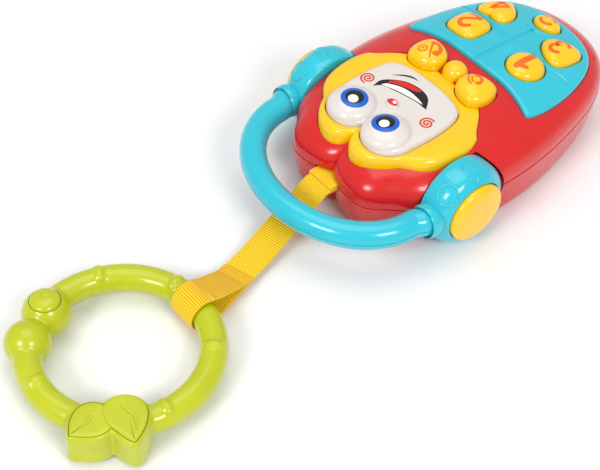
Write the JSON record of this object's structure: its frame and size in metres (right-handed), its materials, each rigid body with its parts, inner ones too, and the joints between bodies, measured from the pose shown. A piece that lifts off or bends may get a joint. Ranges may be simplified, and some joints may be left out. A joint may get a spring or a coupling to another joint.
{
  "type": "toy cell phone",
  "caption": "Baby toy phone with a smiling face, swinging headphone band, push buttons, webbing strap and a teether ring.",
  "frame": {"origin": "middle of the flat back of the rear shell, on the plane of symmetry of the phone", "axes": "+Z out of the face, +Y along the phone to the head and the strap, +X to the right when the digits are read upright"},
  "size_m": [0.1044, 0.2779, 0.0415],
  "materials": {
    "red_plastic": "glossy moulded ABS, tomato red",
    "turquoise_plastic": "glossy moulded ABS, turquoise",
    "yellow_plastic": "glossy moulded ABS, warm yellow",
    "white_plastic": "glossy moulded ABS, white, with printed features",
    "green_plastic": "soft-gloss moulded plastic, lime green",
    "webbing": "ribbed grosgrain webbing, yellow",
    "silicone": "matt moulded silicone, grey",
    "board": "glass-epoxy circuit board, green",
    "black_plastic": "black plastic and magnet",
    "steel": "zinc-plated steel",
    "cell_sleeve": "printed sleeve on a dry cell, plain"
  },
  "bodies": {
    "housing": {"rear_shell": "red_plastic", "front_shell": "red_plastic", "keypad_panel": "turquoise_plastic", "hair_frame": "yellow_plastic", "face_plate": "white_plastic", "button_membrane": "silicone", "circuit_board": "board", "speaker": "black_plastic", "battery_1": "cell_sleeve", "battery_2": "cell_sleeve", "battery_spring_1": "steel", "battery_spring_2": "steel", "battery_contact_1": "steel", "battery_contact_2": "steel", "housing_screw_1": "steel", "housing_screw_2": "steel", "housing_screw_3": "steel", "housing_screw_4": "steel", "board_screw_1": "steel", "board_screw_2": "steel", "pivot_hub_left": "red_plastic", "pivot_washer_left": "steel", "pivot_screw_left": "steel", "pivot_hub_right": "red_plastic", "pivot_washer_right": "steel", "pivot_screw_right": "steel", "strap_anchor_pin": "steel", "strap_anchor": "webbing"},
    "button_1": {"button_1": "yellow_plastic"},
    "button_2": {"button_2": "yellow_plastic"},
    "button_3": {"button_3": "yellow_plastic"},
    "heart_button": {"heart_button": "yellow_plastic"},
    "repeat_button": {"repeat_button": "yellow_plastic"},
    "bow_button_left": {"bow_button_left": "yellow_plastic"},
    "bow_button_right": {"bow_button_right": "yellow_plastic"},
    "headphones": {"ear_cup_left": "turquoise_plastic", "ear_cup_right": "turquoise_plastic", "cup_cap_left": "yellow_plastic", "cup_cap_right": "yellow_plastic", "headband_front": "turquoise_plastic", "headband_rear": "turquoise_plastic"},
    "battery_door": {"battery_door": "red_plastic", "battery_door_screw": "steel"},
    "power_switch": {"power_switch": "black_plastic"},
    "strap": {"strap": "webbing"},
    "ring": {"teether_ring": "green_plastic", "leaf_insert": "green_plastic", "ball_insert": "green_plastic"}
  },
  "joints": [
    {"name": "button_1_press", "type": "slide", "parent": "housing", "child": "button_1", "axis": [0, 0, -1], "range_m": [0, 0.001], "stiffness_N_per_m": 1500},
    {"name": "button_2_press", "type": "slide", "parent": "housing", "child": "button_2", "axis": [0, 0, -1], "range_m": [0, 0.001], "stiffness_N_per_m": 1500},
    {"name": "button_3_press", "type": "slide", "parent": "housing", "child": "button_3", "axis": [0, 0, -1], "range_m": [0, 0.001], "stiffness_N_per_m": 1500},
    {"name": "heart_button_press", "type": "slide", "parent": "housing", "child": "heart_button", "axis": [0, 0, -1], "range_m": [0, 0.001], "stiffness_N_per_m": 1500},
    {"name": "repeat_button_press", "type": "slide", "parent": "housing", "child": "repeat_button", "axis": [0, 0, -1], "range_m": [0, 0.001], "stiffness_N_per_m": 1500},
    {"name": "bow_button_left_press", "type": "slide", "parent": "housing", "child": "bow_button_left", "axis": [0, 0, -1], "range_m": [0, 0.001], "stiffness_N_per_m": 1500},
    {"name": "bow_button_right_press", "type": "slide", "parent": "housing", "child": "bow_button_right", "axis": [0, 0, -1], "range_m": [0, 0.001], "stiffness_N_per_m": 1500},
    {"name": "headphones_swing", "type": "hinge", "parent": "housing", "child": "headphones", "pos_m": [0, 0.0339, 0.0177], "axis": [1, 0, 0], "range_deg": [0, 110]},
    {"name": "battery_door_swing", "type": "hinge", "parent": "housing", "child": "battery_door", "pos_m": [0, -0.018, 0.0004], "axis": [1, 0, 0], "range_deg": [0, 25]},
    {"name": "power_switch_slide", "type": "slide", "parent": "housing", "child": "power_switch", "axis": [0, 1, 0], "range_m": [0, 0.005]},
    {"name": "strap_swing", "type": "hinge", "parent": "housing", "child": "strap", "pos_m": [0, 0.0708, 0.0174], "axis": [1, 0, 0], "range_deg": [-60, 0]},
    {"name": "ring_swing", "type": "hinge", "parent": "strap", "child": "ring", "pos_m": [-0.0126, 0.13782, 0.00772], "axis": [1, 0, 0], "range_deg": [-110, 110]}
  ]
}
